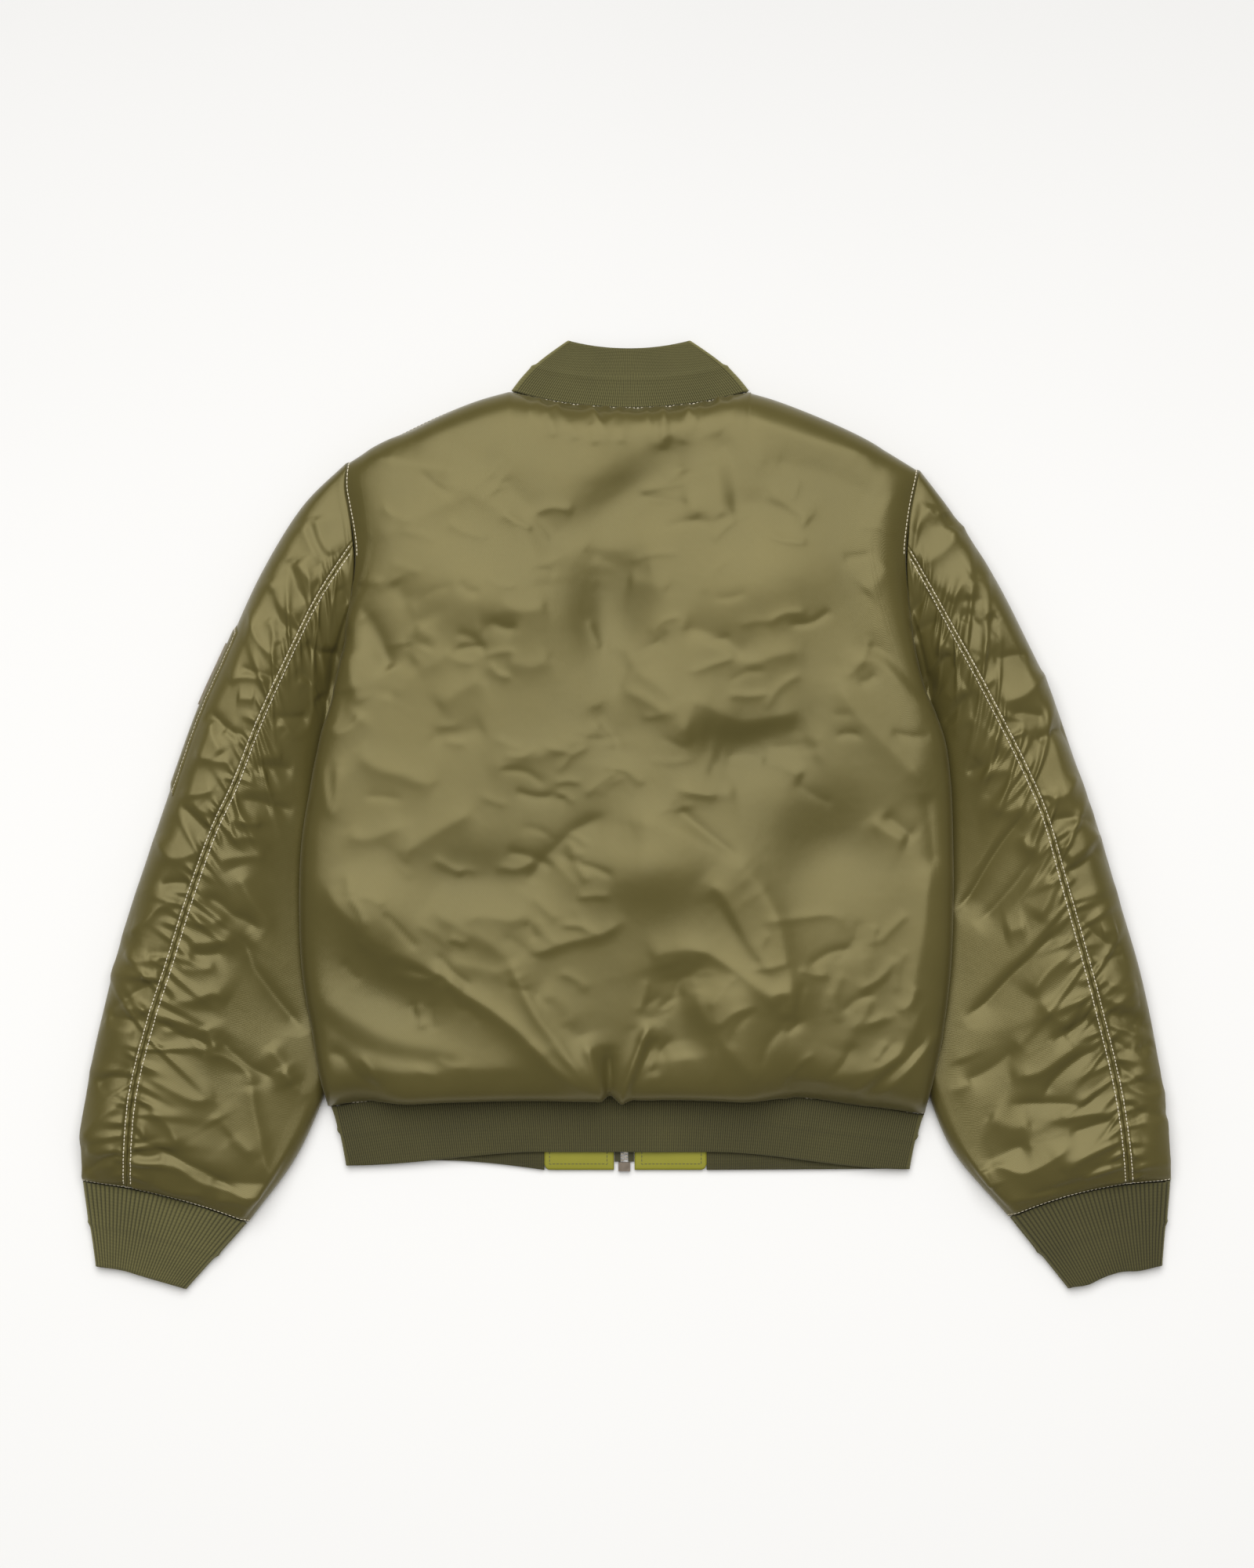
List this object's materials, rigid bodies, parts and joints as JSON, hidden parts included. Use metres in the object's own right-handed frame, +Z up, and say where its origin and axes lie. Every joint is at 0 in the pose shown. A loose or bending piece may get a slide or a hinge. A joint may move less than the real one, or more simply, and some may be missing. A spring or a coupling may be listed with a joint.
{
  "type": "bomber jacket",
  "caption": "Short flight-style jacket lying face down, zip closed, with ribbed collar, cuffs and waistband, gathered sleeve seams and a sleeve pocket.",
  "frame": {"origin": "on the floor, in the middle of the jacket's box", "axes": "+X across the back towards the jacket's right sleeve, +Y from hem to collar, +Z up from the floor"},
  "size_m": [0.9188, 0.8012, 0.0492],
  "materials": {
    "satin_shell": "padded olive satin",
    "rib_knit": "dark olive rib knit",
    "facing_satin": "yellow-green facing satin",
    "zip_tape": "woven olive tape",
    "zip_metal": "dull dark metal"
  },
  "bodies": {
    "root": {"back": "satin_shell", "front_left": "satin_shell", "front_right": "satin_shell", "upper_sleeve_left": "satin_shell", "upper_sleeve_right": "satin_shell", "under_sleeve_left": "satin_shell", "under_sleeve_right": "satin_shell", "sleeve_pocket": "satin_shell", "hem_tab_left": "satin_shell", "hem_tab_right": "satin_shell", "collar": "rib_knit", "waistband": "rib_knit", "cuff_left": "rib_knit", "cuff_right": "rib_knit", "facing_left": "facing_satin", "facing_right": "facing_satin", "zip_tape_left": "zip_tape", "zip_tape_right": "zip_tape", "zip_teeth_left": "zip_metal", "zip_teeth_right": "zip_metal", "zip_box": "zip_metal", "zip_slider": "zip_metal", "pocket_zip": "zip_metal"}
  },
  "joints": []
}
